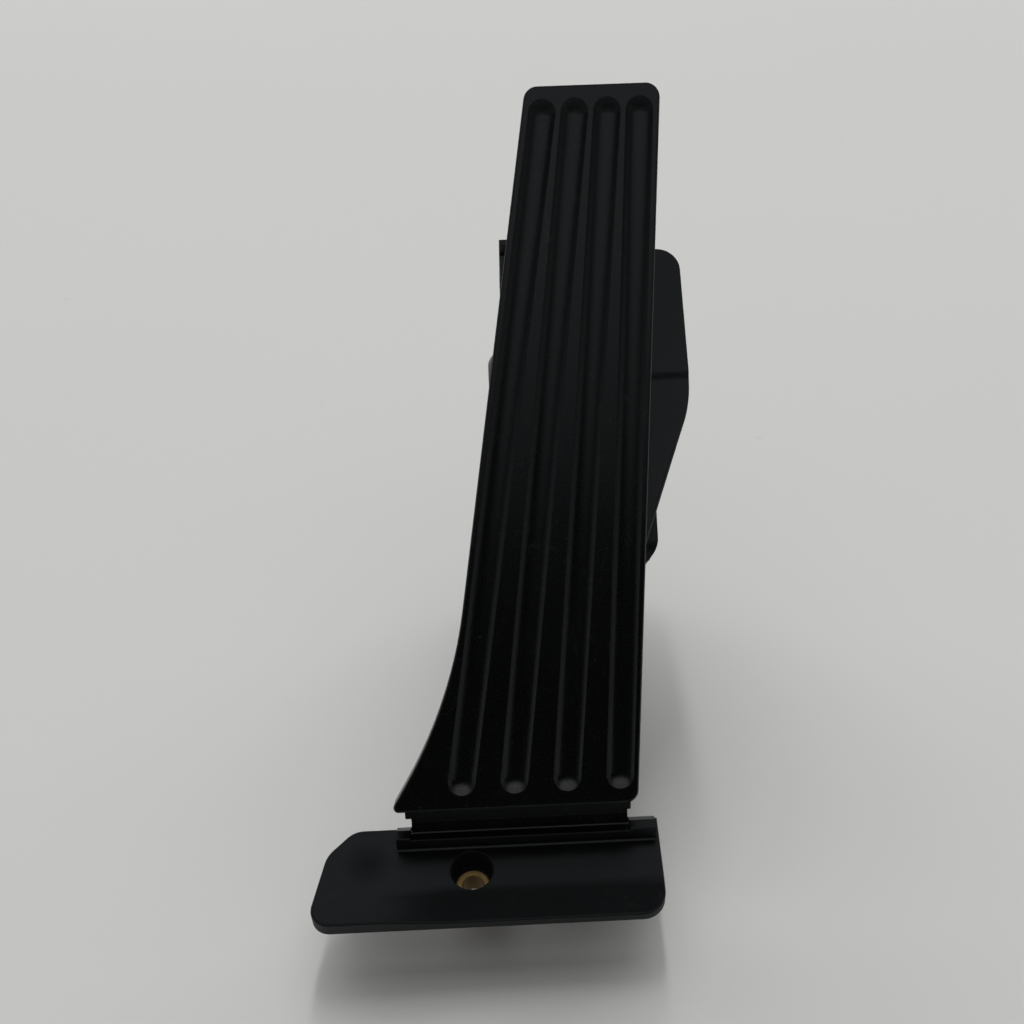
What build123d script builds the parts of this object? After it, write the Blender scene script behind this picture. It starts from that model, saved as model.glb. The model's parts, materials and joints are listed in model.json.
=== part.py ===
"""Floor-hinged accelerator pedal module: grooved pedal, foot plate and wedge carrier, sprung sensor lever.

Millimetres. X runs to the driver's right along the hinge, Y forward under the pedal, Z up.
The origin is on the foot bolt's axis, inside its bush.
"""
from build123d import *
import os
from math import asin, atan2, cos, degrees, hypot, radians, sin, tan

# Hinge line and travel
hinge_y = 13.2  # hinge line, forward of the foot bolt
hinge_z = 13.5  # hinge line above the origin
floor_drop = 9.5  # floor under the wedge, below the origin
rest_angle = 55.0  # slope of the pedal at rest
pedal_travel = 16.0  # from rest to the full stop

# Clearances
run_gap = 0.05  # radial, turning fits
fit_gap = 0.03  # radial, pressed and seated fits
seat_gap = 0.3  # between pieces that meet but move apart
side_gap = 0.4  # beside turning pieces

# Pedal plate, in its own plane: x along the hinge, s up the pedal, n out of the face
pedal_foot = 9.65  # s of the lower edge
pedal_top = 229.2  # s of the upper edge
pedal_left = -11.25  # x of the left edge's line at the hinge
pedal_right = 51.9  # x of the right edge's line at the hinge
left_lean = 9.26
right_lean = 3.76
flare_start = 72.4  # s where the left edge starts to sweep out
flare_end = 17.6  # s where the sweep runs out into a straight
flare_radius = 150.0
top_corner = 4.3
foot_corner = 4.0
tip_corner = 1.6
face_rise = 8.4  # face above the hinge line's plane
face_wall = 3.4
pedal_depth = 7.0  # face to the skirt's lower rim
pedal_wall = 2.4
pedal_edge = 0.9  # rounding of the face's rim
rib_wall = 1.8
rib_spacing = 24.0

# Grooves in the face
groove_count = 4
groove_top_gap = 4.0  # groove end to the upper edge
groove_foot_gap = 4.75  # groove end to the lower edge
groove_top_width = 8.3
groove_foot_width = 8.6
groove_depth = 2.0
groove_left_inset = 4.8  # first groove line from the left edge, at the top
groove_right_inset = 6.65  # last groove line from the right edge, at the top
groove_foot_inset = 5.4  # last groove line from the right edge, at the foot
groove_foot_pitch = 16.4

# Neck and knuckle
knuckle_left = -18.7
knuckle_right = 49.6
knuckle_radius = 2.6
pin_radius = 1.0
neck_low = -1.4
neck_high = 2.2
neck_rise = 2.6  # ramp from the neck up to the pedal's lower wall
neck_ramp = 5.0  # length of that ramp
neck_lap = 3.0  # neck into the pedal's lower wall
shoulder_left = 1.8  # the wider upper stage of the neck, past the knuckle
shoulder_right = 1.0
shoulder_length = 3.7  # below the pedal's lower edge

# Foot plate
foot_top = 12.5
foot_wall = 2.4
foot_skirt = 4.6
foot_front = -16.4
foot_back = 16.2
foot_left = -49.8
foot_right = 58.4
foot_right_flare = 1.3
wing_side_x = -45.6
wing_side_y = 7.6
wing_back_x = -37.6
foot_left_corner = 6.0
foot_right_corner = 7.5
wing_side_corner = 9.0
wing_back_corner = 7.0
foot_edge = 0.7
foot_rib_count = 5
roll_back = -4.6  # where the flat top bends down to the front edge
roll_bend = 3.0  # length of the bend
roll_drop = 1.8
roll_fade = -29.0  # x where the roll has faded out
roll_full = -8.0  # x where it has its full drop

# Foot bolt: boss, recess and bush
boss_radius = 9.0
recess_radius = 6.6
bush_radius = 5.4
bush_bore = 3.3
bush_low = -3.0  # lower end, from the origin
bush_length = 7.5
bush_chamfer = 0.5

# Hinge rail
rail_left = -23.5
rail_right = 58.4
rail_reach = 4.6  # front of the rail before the hinge line
rail_back = 3.0  # back of the rail behind the hinge line
strip_width = 2.8  # flat top before the knuckle
strip_height = 3.0  # above the hinge line
strip_edge = 0.3
lug_height = 0.8  # end lugs above the strip
lug_depth = 3.4  # flat top of the lugs, front to back
lug_wall = 1.2  # round the pin
lug_round = 0.6
trough_gap = 0.4  # round the knuckle
trough_back = 0.6  # open side of the trough, below the hinge line
rail_sweep = 1.3  # hollow rounding into the foot plate

# Wedge of the carrier, with its front along the pressed pedal: t up that slope, d out of it
wedge_left = 17.35
wedge_right = 56.0
wedge_wall = 2.5
wedge_toe = 36.0
wedge_heel = 148.0
wedge_toe_right = 48.5  # the right side runs in towards the hinge
wedge_taper_start = 12.0
wedge_taper_end = 74.0
bed_drop = 5.0
bed_start = 12.0
wedge_top = 208.4
wedge_depth = 42.0
crown_corner = 7.0
cell_length = 19.0
cell_wall = 2.0
skirt_reach = 20.0  # how far the open cells' tool runs below the floor
panel_depth = 1.4  # side panels between the ribs
panel_rim = 5.0
panel_rib = 2.2
panel_ribs = 8
panel_round = 14.0  # round field left full at the shaft
notch_top = 2.0  # slot beside the top edge
notch_length = 4.5
notch_width = 9.0
notch_depth = 7.0
tongue_width = 20.0
tongue_length = 12.0
tongue_height = 4.0
side_boss_t = 156.0
side_boss_drop = 8.0
side_boss_radius = 11.0
side_boss_reach = 5.9
side_boss_edge = 5.4

# Lever bay
bay_left = 32.0
bay_end = 190.0
bay_knee = 3.0  # level floor beyond the springs' fixed legs
bay_end_drop = 15.5  # floor at the far end, below the bed
pivot_t = 96.0
pivot_drop = 23.0  # shaft below the hinge line's pressed plane
lever_ratio = 2.2  # lever turn for each turn of the pedal

# Lever
shaft_radius = 2.5
lever_bush_wall = 1.0
lever_bush_length = 6.0
hub_radius = 7.0
arm_width = 6.6
arm_tip_radius = 4.5
trunnion_radius = 5.5
trunnion_reach = 1.5  # past the carrier's wall
roller_radius = 6.0
roller_width = 7.0
roller_pin_radius = 1.5
cheek_wall = 2.2
cheek_radius = 3.8
lug_reach = 13.0
lug_half = 2.5
lug_angle = 190.0  # stop lug's direction in the slope's section, at rest
peg_radius = 2.2
peg_reach = 38.0

# Return springs
wire_radius = 0.9
coil_radius = 8.5
coil_turns = 3  # whole turns between the legs, before the legs' own angle is taken off
fixed_leg = 24.0
free_leg_end = 5.0  # past the peg

# Slide pad under the pedal
pad_thickness = 2.0
pad_width = 12.0
pad_margin = 10.0  # past the roller's travel, each end

# Buffers
buffer_radius = 4.5
buffer_margin = 14.0  # below the wedge's top
buffer_inset = 8.0  # from the wedge's sides
buffer_stem = 2.0
rest_buffer_length = 7.0
rest_buffer_width = 9.0

# Sensor housing on the carrier's right side
shell_wall = 2.2
drum_radius = 10.0
drum_reach = 12.8  # past the carrier's side
shoulder_low = 105.0
shoulder_high = 143.8
shoulder_reach = 27.5
box_reach = 27.65
box_top = 203.0
box_depth = 35.0
drum_corner = 9.5
box_corner = 8.5
shoulder_corner = 50.0
cover_drop = 6.4  # flat cover below the hinge line's pressed plane
cover_thick = 5.0
cover_low = 72.0  # t where the cover's tongue ends
cover_edge = 1.2
crease_t = 153.4
crease_width = 5.0  # of the step
crease_run = 26.0  # below the step, back up to the cover's level
crease_depth = 1.2
ear_radius = 4.6
ear_height = 4.0
ear_offset = 3.4
screw_radius = 1.5
screw_head_radius = 3.0
screw_head = 2.2
screw_length = 10.0
screw_boss = 4.2
seal_width = 1.0
seal_depth = 0.9

# Rotor and board
rotor_gap = 1.0  # lobes to the shell
rotor_hub = 5.2
rotor_lobes = 3
rotor_thickness = 1.2
spigot_radius = 4.2
board_gap = 2.2  # rotor to board
board_thickness = 1.6
board_margin = 1.2
post_radius = 2.5
post_inset = 16.0  # posts from the housing's upper end and from its shoulder

# Plug socket on the housing's upper end
plug_width = 13.0
plug_height = 24.0
plug_reach = 18.0
plug_floor = 3.0
plug_wall = 1.6
plug_inset = 1.5  # from the carrier's side
plug_corner = 2.5
pin_count = 6
pin_pitch = 3.0
pin_size = 1.0
pin_stick = 7.0  # above the socket's floor
pin_tail = 6.0

bed_angle = rest_angle - pedal_travel
UP = (Align.CENTER, Align.CENTER, Align.MIN)
DOWN = (Align.CENTER, Align.CENTER, Align.MAX)


# Placing

def slope_plane(angle):
    """Local x along the hinge, y up the slope, z out of it."""
    turn = radians(angle)
    return Plane(origin=(0, hinge_y, hinge_z), x_dir=(1, 0, 0), z_dir=(0, -sin(turn), cos(turn)))


def slope_section(angle, origin=(0, hinge_y, hinge_z)):
    """Local x up the slope, y out of it, z along the hinge."""
    turn = radians(angle)
    return Plane(origin=origin, x_dir=(0, cos(turn), sin(turn)), z_dir=(1, 0, 0))


pedal_plane = slope_plane(rest_angle)
pedal_section = slope_section(rest_angle)
bed_plane = slope_plane(bed_angle)
bed_section = slope_section(bed_angle)
cross_section = Plane.YZ


def on_bed(t, d):
    """World y and z of a point in the pressed slope's section."""
    turn = radians(bed_angle)
    return hinge_y + t * cos(turn) - d * sin(turn), hinge_z + t * sin(turn) + d * cos(turn)


def polygon(*points):
    return make_face(Polyline(*points, close=True))


def prism(profile, low, high):
    return extrude(Pos(0, 0, low) * profile, amount=high - low, dir=(0, 0, 1))


def rounded(profile, corners):
    for point, radius in corners:
        profile = fillet(profile.vertices().sort_by_distance(point)[0], radius)
    return profile


def disc(at, radius):
    return Pos(*at) * Circle(radius)


def band(at, end, radius, end_radius):
    """Flat outline drawn tight round two circles."""
    return make_hull(disc(at, radius).edges() + disc(end, end_radius).edges())


def bar(radius, start, end):
    start, end = Vector(start), Vector(end)
    run = end - start
    return Plane(origin=start, z_dir=run) * Cylinder(radius, run.length, align=UP)


def block(low, high):
    size = [h - l for l, h in zip(low, high)]
    return Pos(*low) * Box(*size, align=(Align.MIN, Align.MIN, Align.MIN))


# Lever geometry: the arm's length and angle keep the roller on a flat track at a constant ratio
pivot_d = -pivot_drop
half_travel = radians(pedal_travel / 2)
arm_along = (pivot_t * cos(half_travel) + pivot_d * sin(half_travel)) / (lever_ratio - 1)
arm_across = (pivot_t * sin(half_travel) - pivot_d * cos(half_travel)) / (lever_ratio - 1) ** 2
arm_length = hypot(arm_along, arm_across)
arm_rest = degrees(atan2(arm_across, arm_along) + half_travel + lever_ratio * half_travel)
roller_n = arm_across + pivot_d * cos(half_travel) - pivot_t * sin(half_travel)
track_n = roller_n + roller_radius + seat_gap
track_rest = pivot_t * cos(2 * half_travel) + pivot_d * sin(2 * half_travel) \
    + arm_length * cos(radians(arm_rest - pedal_travel))
track_full = pivot_t + arm_length * cos(radians(arm_rest - lever_ratio * pedal_travel))

# Places that several pieces share
bay_right = wedge_right - wedge_wall
lever_x = (bay_left + bay_right) / 2
bay_floor = pivot_d - coil_radius - wire_radius - fit_gap
cell_left = wedge_left + panel_depth + wedge_wall
pivot_y, pivot_z = on_bed(pivot_t, pivot_d)
lever_section = slope_section(bed_angle + arm_rest, origin=(0, pivot_y, pivot_z))
trunnion_end = wedge_right + trunnion_reach
spigot_end = trunnion_end + rotor_thickness
board_left = spigot_end + board_gap
board_right = board_left + board_thickness
drum_x = wedge_right + drum_reach
box_back = -bed_drop - box_depth
box_middle = (box_back - cover_drop) / 2
skirt_n = face_rise - pedal_depth
rotor_radius = drum_radius - shell_wall - rotor_gap
fork_half = roller_width / 2 + side_gap + cheek_wall
buffer_places = [(x, wedge_top - buffer_margin) for x in (wedge_left + buffer_inset, wedge_right - buffer_inset)]


# Pedal

def left_edge(s):
    return pedal_left + s * tan(radians(left_lean))


def right_edge(s):
    return pedal_right + s * tan(radians(right_lean))


def pedal_outline():
    lean = radians(left_lean)
    top_left = (left_edge(pedal_top), pedal_top)
    top_right = (right_edge(pedal_top), pedal_top)
    low_right = (right_edge(pedal_foot), pedal_foot)
    flare_top = (left_edge(flare_start), flare_start)
    flare_turn = degrees(asin(sin(lean) + (flare_start - flare_end) / flare_radius) - lean)
    flare = JernArc(flare_top, (-sin(lean), -cos(lean)), flare_radius, -flare_turn)
    end, run = flare @ 1, flare % 1
    tip = end + run * ((pedal_foot - end.Y) / run.Y)
    outline = make_face([
        Line(top_left, flare_top), flare, Line(end, tip), Line(tip, low_right),
        Line(low_right, top_right), Line(top_right, top_left)])
    return rounded(outline, [
        (top_left, top_corner), (top_right, top_corner), (low_right, foot_corner), (tip, tip_corner)])


def groove(number):
    """Round-bottomed groove with ball ends, on its line of the fan."""
    share = number / (groove_count - 1)
    top_s, foot_s = pedal_top - groove_top_gap, pedal_foot + groove_foot_gap
    first, last = left_edge(pedal_top) + groove_left_inset, right_edge(pedal_top) - groove_right_inset
    top_x = first + share * (last - first)
    foot_x = right_edge(pedal_foot) - groove_foot_inset - (1 - share) * (groove_count - 1) * groove_foot_pitch
    ends = []
    for x, s, width, way in ((top_x, top_s, groove_top_width, -1), (foot_x, foot_s, groove_foot_width, 1)):
        ball = width ** 2 / (8 * groove_depth) + groove_depth / 2
        ends.append((Vector(x, s + way * width / 2, face_rise + ball - groove_depth), ball))
    (top, top_ball), (foot, foot_ball) = ends
    run = foot - top
    hull = make_hull(disc((0, 0), top_ball).edges() + disc((run.length, 0), foot_ball).edges())
    far = run.length + 2 * foot_ball
    half = hull & polygon((-far, 0), (far, 0), (far, far), (-far, far))
    tool = revolve(half, Axis.X)
    return Plane(origin=top, x_dir=run, z_dir=run.cross(Vector(1, 0, 0))) * tool


def pad_box(low, high, grow):
    """Corners of the slide pad's place under the pedal, widened by grow."""
    half = pad_width / 2 + grow
    return ((lever_x - half, track_rest - pad_margin - grow, low),
            (lever_x + half, track_full + pad_margin + grow, high))


def pedal_pocket(outline):
    """Hollow under the face, less its ribs, the pad's seat and the lands for the buffers."""
    ceiling = face_rise - face_wall
    pocket = prism(offset(outline, -pedal_wall), skirt_n, ceiling)
    width = right_edge(pedal_top) - left_edge(pedal_foot)
    for step in range(1, int((pedal_top - pedal_foot) / rib_spacing) + 1):
        s = pedal_foot + step * rib_spacing
        pocket -= block((left_edge(s) - width, s, skirt_n), (right_edge(s) + width, s + rib_wall, ceiling))
    foot, top = [((left_edge(s) + right_edge(s)) / 2, s) for s in (pedal_foot, pedal_top)]
    spine_lean = degrees(atan2(top[0] - foot[0], top[1] - foot[1]))
    spine = block((-rib_wall / 2, 0, skirt_n), (rib_wall / 2, 2 * pedal_top, ceiling))
    pocket -= Pos(*foot) * Rot(0, 0, -spine_lean) * spine
    pocket -= block(*pad_box(skirt_n, ceiling, rib_wall))
    for x, t in buffer_places:
        pocket -= Pos(x, t, skirt_n) * Cylinder(buffer_radius + rib_wall, ceiling - skirt_n, align=UP)
    return pocket


def pedal_neck():
    """Neck under the lower edge: a ramp down to the knuckle, with a wider stage at the pedal."""
    end, start = pedal_foot + neck_lap, pedal_foot - neck_ramp
    top = neck_high + neck_rise
    neck = polygon((0, neck_low), (end, neck_low), (end, top), (pedal_foot, top), (start, neck_high), (0, neck_high))
    part = prism(neck + Circle(knuckle_radius), knuckle_left, knuckle_right)
    stage = pedal_foot - shoulder_length
    stage_high = neck_high + neck_rise * (stage - start) / neck_ramp
    wide = polygon((stage, 0), (end, 0), (end, top), (pedal_foot, top), (stage, stage_high))
    part += prism(wide, knuckle_left - shoulder_left, knuckle_right + shoulder_right)
    return part - prism(Circle(pin_radius + run_gap), rail_left, rail_right)


def pedal_plate():
    outline = pedal_outline()
    plate = prism(outline, skirt_n, face_rise)
    plate = fillet(plate.faces().sort_by(Axis.Z)[-1].edges(), pedal_edge)
    plate -= pedal_pocket(outline)
    plate += block(*pad_box(track_n + pad_thickness, face_rise - face_wall, 0))
    for number in range(groove_count):
        plate -= groove(number)
    return pedal_plane * plate + pedal_section * pedal_neck()


def slide_pad():
    pad = block(*pad_box(track_n, track_n + pad_thickness, 0))
    return pedal_plane * fillet(pad.edges().filter_by(Axis.Z), pad_width / 3)


# Foot plate and hinge

def hinge_pin():
    return bar(pin_radius, (rail_left, hinge_y, hinge_z), (rail_right, hinge_y, hinge_z))


def foot_bush():
    bush = prism(Circle(bush_radius) - Circle(bush_bore), bush_low, bush_low + bush_length)
    return chamfer(bush.faces().sort_by(Axis.Z)[-1].edges(), bush_chamfer)


def roll_section(x, drop):
    """Section at x of the tool that bends the foot plate's top down to its front edge."""
    slope = drop / (roll_back - foot_front - roll_bend / 2)
    start = (roll_back, foot_top)
    middle = (roll_back - roll_bend / 2, foot_top - slope * roll_bend / 8)
    bent = (roll_back - roll_bend, foot_top - slope * roll_bend / 2)
    out = (foot_front - foot_wall, foot_top - drop - slope * foot_wall)
    high = foot_top + foot_wall
    arc = ThreePointArc(start, middle, bent)
    face = make_face([arc, Line(bent, out), Line(out, (out[0], high)), Line((out[0], high), (roll_back, high)),
                      Line((roll_back, high), start)])
    return Plane.YZ.offset(x) * face


def top_edges(plate, outline):
    """Edges of the plate's upper side that lie on its outline, without those at the rail."""
    rim = prism(outline, foot_top - foot_wall, foot_top + foot_wall).faces().filter_by(Axis.Z, reverse=True)
    edges = [edge for edge in plate.edges() if edge.center().Z > foot_top - roll_drop - fit_gap]
    edges = [edge for edge in edges if edge.center().Y < foot_back - fit_gap]
    return [edge for edge in edges if all(min(face.distance_to(edge @ share) for face in rim) < fit_gap / 10
                                          for share in (0, 0.5, 1))]


def foot_plate():
    front_left, front_right = (foot_left, foot_front), (foot_right, foot_front)
    back_right = (foot_right + foot_right_flare, foot_back)
    wing_back, wing_side = (wing_back_x, foot_back), (wing_side_x, wing_side_y)
    outline = polygon(front_left, front_right, back_right, wing_back, wing_side)
    outline = rounded(outline, [
        (front_left, foot_left_corner), (front_right, foot_right_corner),
        (wing_back, wing_back_corner), (wing_side, wing_side_corner)])
    low = foot_top - foot_skirt
    plate = prism(outline, low, foot_top)
    left, right = foot_left - foot_wall, foot_right + foot_wall
    places = ((left, fit_gap), (roll_fade, 2 * fit_gap), (roll_full, roll_drop), (right, roll_drop))
    plate -= loft([roll_section(x, drop) for x, drop in places], ruled=True)
    plate = fillet(top_edges(plate, outline), foot_edge)
    pocket = prism(offset(outline, -foot_wall), low, foot_top - foot_wall)
    for step in range(foot_rib_count):
        rib = block((0, -cell_wall / 2, low), (foot_right - foot_left, cell_wall / 2, foot_top))
        pocket -= Rot(0, 0, 360 / foot_rib_count * step) * rib
    plate -= pocket
    return plate + prism(Circle(boss_radius), bush_low, foot_top - foot_wall)


def hinge_rail():
    """Bar along the foot plate's back, with a flat strip before the knuckle and a lug at each end."""
    front, back = hinge_y - rail_reach, hinge_y + rail_back
    top, low = hinge_z + strip_height, foot_top - foot_skirt
    strip_back = front + strip_width
    sweep_low = (front - rail_sweep, foot_top + rail_sweep)
    profile = polygon(
        (sweep_low[0], low), (back, low), (back, hinge_z - trough_back), (strip_back, hinge_z - trough_back),
        (strip_back, top), (front, top), (front, sweep_low[1]), sweep_low)
    profile = rounded(profile, [((strip_back, top), strip_edge), ((front, top), strip_edge)])
    rail = prism(profile - disc(sweep_low, rail_sweep), rail_left, rail_right)
    lug_top, lug_end = top + lug_height, front + lug_depth
    lug = polygon((front, low), (lug_end, low), (lug_end, lug_top), (front, lug_top))
    lug = make_hull(lug.edges() + disc((hinge_y, hinge_z), pin_radius + lug_wall).edges())
    lug = rounded(lug, [((front, lug_top), lug_round), ((lug_end, lug_top), lug_round)])
    rail += prism(lug, rail_left, knuckle_left - side_gap) + prism(lug, knuckle_right + side_gap, rail_right)
    return cross_section * rail


def hinge_room():
    """Trough round the knuckle and the pin's hole through the lugs."""
    trough = disc((hinge_y, hinge_z), knuckle_radius + trough_gap)
    room = prism(trough, knuckle_left - side_gap, knuckle_right + side_gap)
    pin_hole = disc((hinge_y, hinge_z), pin_radius + fit_gap)
    return cross_section * (room + prism(pin_hole, rail_left, rail_right))


# Carrier

def wedge_profile(reach):
    """Side outline of the wedge; its open foot runs on below the floor by reach."""
    neck = (foot_back - foot_wall, foot_top - foot_skirt)
    toe, heel = (wedge_toe, -floor_drop), (wedge_heel, -floor_drop)
    crown = on_bed(wedge_top, -bed_drop - wedge_depth)
    brow = on_bed(wedge_top, -bed_drop)
    toe_low = (toe[0] + reach * (toe[0] - neck[0]) / (neck[1] - toe[1]), toe[1] - reach)
    heel_low = (heel[0] + reach * (heel[0] - crown[0]) / (crown[1] - heel[1]), heel[1] - reach)
    outline = polygon(
        neck, toe_low, heel_low, crown, brow, on_bed(bed_start, -bed_drop), (hinge_y + rail_back, foot_top - foot_wall))
    return rounded(outline, [(crown, crown_corner)])


def wedge_taper(inset):
    """Plan outline of the wedge, whose right side runs in towards the hinge."""
    right, toe_right = wedge_right - inset, wedge_toe_right - inset
    low, high = -wedge_top, 2 * wedge_top
    return bed_plane * prism(polygon(
        (wedge_left, low), (toe_right, low), (toe_right, wedge_taper_start), (right, wedge_taper_end),
        (right, high), (wedge_left, high)), -2 * wedge_top, wedge_top)


def bay_profile():
    low_end = pivot_t - lug_reach - 2 * lug_half - seat_gap
    return polygon(
        (low_end, 0), (low_end, bay_floor), (pivot_t + fixed_leg + bay_knee, bay_floor),
        (bay_end, -bed_drop - bay_end_drop), (bay_end, 0))


def screw_places():
    """Section places of the housing's screws, just outside its outline."""
    back = box_back - ear_offset
    return [(box_top - 2 * ear_radius, back), (shoulder_high - ear_radius, back),
            (pivot_t, pivot_d - drum_radius - ear_offset)]


def side_panels():
    """Shallow panels in the wedge's left side, between a rim and ribs that fan out from the shaft."""
    field = Plane.YZ * prism(offset(wedge_profile(0), -panel_rim), wedge_left, wedge_left + panel_depth)
    hub = disc((pivot_t, pivot_d), panel_round) + disc((side_boss_t, -bed_drop - side_boss_drop), panel_round)
    field -= bed_section * prism(hub, wedge_left, wedge_left + panel_depth)
    for step in range(panel_ribs):
        rib = block((0, -panel_rib / 2, wedge_left), (wedge_top, panel_rib / 2, wedge_left + panel_depth))
        field -= bed_section * Pos(pivot_t, pivot_d) * Rot(0, 0, 360 / panel_ribs * step) * rib
    return field


def cell_cores():
    """Cores of the open cells under the wedge, less the walls round the bay, the bosses and the ribs."""
    inner = offset(wedge_profile(skirt_reach), -wedge_wall, kind=Kind.INTERSECTION)
    cells = cross_section * prism(inner, cell_left, bay_right)
    cells &= wedge_taper(wedge_wall)
    jacket = offset(bay_profile(), wedge_wall, kind=Kind.INTERSECTION)
    cells -= bed_section * prism(jacket, bay_left - wedge_wall, wedge_right)
    heel_y, _ = on_bed(wedge_top, -bed_drop - wedge_depth)
    low = -floor_drop - skirt_reach
    cells -= block((bay_left - wedge_wall, 0, low), (bay_left, heel_y, heel_y))
    for step in range(1, int((heel_y - wedge_toe) / cell_length) + 1):
        rib_y = wedge_toe + step * cell_length
        cells -= block((wedge_left, rib_y, low), (wedge_right, rib_y + cell_wall, heel_y))
    shaft_boss = disc((pivot_t, pivot_d), shaft_radius + 2 * wedge_wall)
    cells -= bed_section * prism(shaft_boss, wedge_left, bay_left)
    for place in screw_places():
        cells -= bed_section * prism(disc(place, screw_boss), wedge_right - screw_length - wedge_wall, wedge_right)
    return cells


def side_boss():
    place = disc((side_boss_t, -bed_drop - side_boss_drop), side_boss_radius)
    boss = prism(place, wedge_left - side_boss_reach, wedge_left + wedge_wall)
    return bed_section * fillet(boss.faces().sort_by(Axis.Z)[0].edges(), side_boss_edge)


def rear_tongue():
    middle = (wedge_left + wedge_right) / 2
    tongue = block(
        (middle - tongue_width / 2, wedge_heel - cell_wall, -floor_drop),
        (middle + tongue_width / 2, wedge_heel + tongue_length, -floor_drop + tongue_height))
    return fillet(tongue.edges().filter_by(Axis.Z), tongue_height / 2)


def carrier():
    wedge = cross_section * prism(wedge_profile(0), wedge_left, wedge_right)
    body = (wedge & wedge_taper(0)) - side_panels() - cell_cores()
    body -= bed_section * prism(bay_profile(), bay_left, bay_right)
    body += foot_plate() + hinge_rail() + side_boss() + rear_tongue()
    body -= hinge_room()
    bush_top = bush_low + bush_length
    body -= prism(Circle(recess_radius), bush_top, foot_top)
    body -= prism(Circle(bush_radius + fit_gap), bush_low, bush_top)
    shaft_hole = disc((pivot_t, pivot_d), shaft_radius + fit_gap)
    body -= bed_section * prism(shaft_hole, cell_left, bay_left)
    body -= bed_section * prism(disc((pivot_t, pivot_d), trunnion_radius + side_gap), bay_right, wedge_right)
    for place in screw_places():
        body -= bed_section * prism(disc(place, screw_radius + fit_gap), wedge_right - screw_length, wedge_right)
    for x, t in buffer_places:
        body -= bed_plane * Pos(x, t, -bed_drop) * Cylinder(buffer_stem + fit_gap, 2 * wedge_wall)
    notch_end = wedge_top - notch_top
    body -= bed_plane * block(
        (wedge_left - notch_width, notch_end - notch_length, -bed_drop - notch_depth),
        (wedge_left + notch_width, notch_end, bed_drop))
    return body


# Lever

def sensor_lever():
    hub_left, hub_right = bay_left + side_gap, bay_right - side_gap
    tip, knee = (arm_length, 0), (arm_length - 2 * roller_radius, 0)
    lever = prism(Circle(hub_radius), hub_left, hub_right)
    lever += prism(Circle(trunnion_radius), hub_right, trunnion_end)
    lever += prism(Circle(spigot_radius), trunnion_end, spigot_end)
    arm = band((0, 0), knee, hub_radius, arm_tip_radius)
    lever += prism(arm, lever_x - arm_width / 2, lever_x + arm_width / 2)
    lever += prism(band(knee, tip, arm_tip_radius, cheek_radius), lever_x - fork_half, lever_x + fork_half)
    roller_room = disc(tip, roller_radius + 2 * side_gap)
    lever -= prism(roller_room, lever_x - roller_width / 2 - side_gap, lever_x + roller_width / 2 + side_gap)
    lug_turn = radians(lug_angle - arm_rest)
    lug_tip = (lug_reach * cos(lug_turn), lug_reach * sin(lug_turn))
    lever += prism(band((0, 0), lug_tip, lug_half, lug_half), lever_x - arm_width / 2, lever_x + arm_width / 2)
    lever += prism(disc((peg_reach, 0), peg_radius), hub_left + wire_radius, hub_right - wire_radius)
    lever -= prism(Circle(shaft_radius + lever_bush_wall + fit_gap), hub_left, spigot_end)
    lever -= prism(disc(tip, roller_pin_radius + fit_gap), lever_x - fork_half, lever_x + fork_half)
    return lever_section * lever


def lever_shaft():
    return bed_section * prism(disc((pivot_t, pivot_d), shaft_radius), cell_left, drum_x - shell_wall)


def lever_bushes():
    hub_left = bay_left + side_gap
    ring = Circle(shaft_radius + lever_bush_wall) - Circle(shaft_radius + run_gap)
    left = prism(ring, hub_left, hub_left + lever_bush_length)
    right = prism(ring, spigot_end - lever_bush_length, spigot_end)
    return lever_section * Compound(children=[left, right])


def roller():
    wheel = disc((arm_length, 0), roller_radius) - disc((arm_length, 0), roller_pin_radius + run_gap)
    return lever_section * prism(wheel, lever_x - roller_width / 2, lever_x + roller_width / 2)


def roller_pin():
    return lever_section * prism(disc((arm_length, 0), roller_pin_radius), lever_x - fork_half, lever_x + fork_half)


def return_spring():
    """Left torsion spring: one leg on the bay's floor, the other under the lever's peg."""
    lean = degrees(asin((coil_radius + peg_radius + wire_radius + seat_gap) / peg_reach))
    leg_angle = arm_rest - lean
    turns = coil_turns - (180 + leg_angle) / 360
    start_x = bay_left + side_gap + wire_radius
    room = lever_x - arm_width / 2 - side_gap - wire_radius - start_x
    coil = Helix(pitch=room / turns, height=room, radius=coil_radius, lefthand=True)
    coil = Pos(pivot_t, pivot_d, start_x) * Rot(0, 0, -90) * coil
    section = Plane(origin=coil @ 0, z_dir=coil % 0) * Circle(wire_radius)
    spring = sweep(section, path=coil, is_frenet=True)
    free_way = Vector(cos(radians(leg_angle)), sin(radians(leg_angle)), 0)
    free_length = peg_reach * cos(radians(lean)) + free_leg_end
    leg_lap = wire_radius / 2
    for start, way, length in ((coil @ 0, Vector(1, 0, 0), fixed_leg), (coil @ 1, free_way, free_length)):
        spring += bar(wire_radius - fit_gap, start - way * leg_lap, start + way * length)
    return bed_section * spring


def rotor():
    plate = Circle(rotor_hub)
    for step in range(rotor_lobes):
        plate += Rot(0, 0, 360 / rotor_lobes * step) * disc((rotor_hub, 0), rotor_radius - rotor_hub)
    plate -= Circle(spigot_radius + fit_gap)
    return lever_section * prism(plate, trunnion_end, spigot_end)


# Buffers

def full_stop_buffers():
    height = skirt_n - seat_gap + bed_drop
    pads = []
    for x, t in buffer_places:
        pad = Cylinder(buffer_radius, height, align=UP)
        pad = fillet(pad.faces().sort_by(Axis.Z)[-1].edges(), buffer_radius / 3)
        pad += Cylinder(buffer_stem, wedge_wall, align=DOWN)
        pads.append(bed_plane * Pos(x, t, -bed_drop) * pad)
    return Compound(children=pads)


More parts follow.
